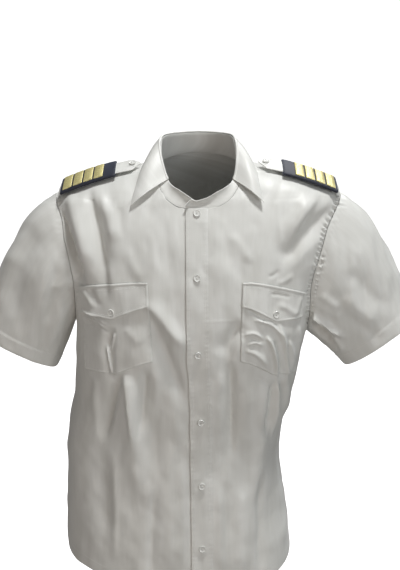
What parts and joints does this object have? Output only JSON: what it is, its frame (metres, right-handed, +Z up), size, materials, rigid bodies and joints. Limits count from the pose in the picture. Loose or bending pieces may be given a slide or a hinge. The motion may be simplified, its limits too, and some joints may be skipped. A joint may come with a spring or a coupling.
{
  "type": "pilot shirt",
  "caption": "White short-sleeved uniform shirt in worn form: fold-over collar, buttoned front, flap pockets, shoulder straps with barred slide-on boards.",
  "frame": {"origin": "midway between the two points where the shoulder seams meet the neck, where the wearer's neck and shoulders hold the shirt", "axes": "+Z up, the front faces -Y, +X is the wearer's left"},
  "size_m": [0.7477, 0.2546, 0.769],
  "materials": {
    "white_cloth": "white polyester cotton with a soft satin sheen",
    "board_cloth": "near-black navy wool cloth",
    "gold_braid": "woven metallic gold braid",
    "button_pearl": "pearly white gloss"
  },
  "bodies": {
    "root": {"front_left": "white_cloth", "front_right": "white_cloth", "back": "white_cloth", "yoke": "white_cloth", "placket": "white_cloth", "collar_stand": "white_cloth", "collar_leaf": "white_cloth", "sleeve_left": "white_cloth", "sleeve_right": "white_cloth", "pocket_left": "white_cloth", "pocket_right": "white_cloth", "flap_left": "white_cloth", "flap_right": "white_cloth", "strap_left": "white_cloth", "strap_right": "white_cloth", "slider_left": "board_cloth", "slider_right": "board_cloth", "bar_left_1": "gold_braid", "bar_left_2": "gold_braid", "bar_left_3": "gold_braid", "bar_left_4": "gold_braid", "bar_right_1": "gold_braid", "bar_right_2": "gold_braid", "bar_right_3": "gold_braid", "bar_right_4": "gold_braid", "button_front_1": "button_pearl", "button_front_2": "button_pearl", "button_front_3": "button_pearl", "button_front_4": "button_pearl", "button_front_5": "button_pearl", "button_front_6": "button_pearl", "button_flap_left": "button_pearl", "button_flap_right": "button_pearl", "button_strap_left": "button_pearl", "button_strap_right": "button_pearl"}
  },
  "joints": []
}
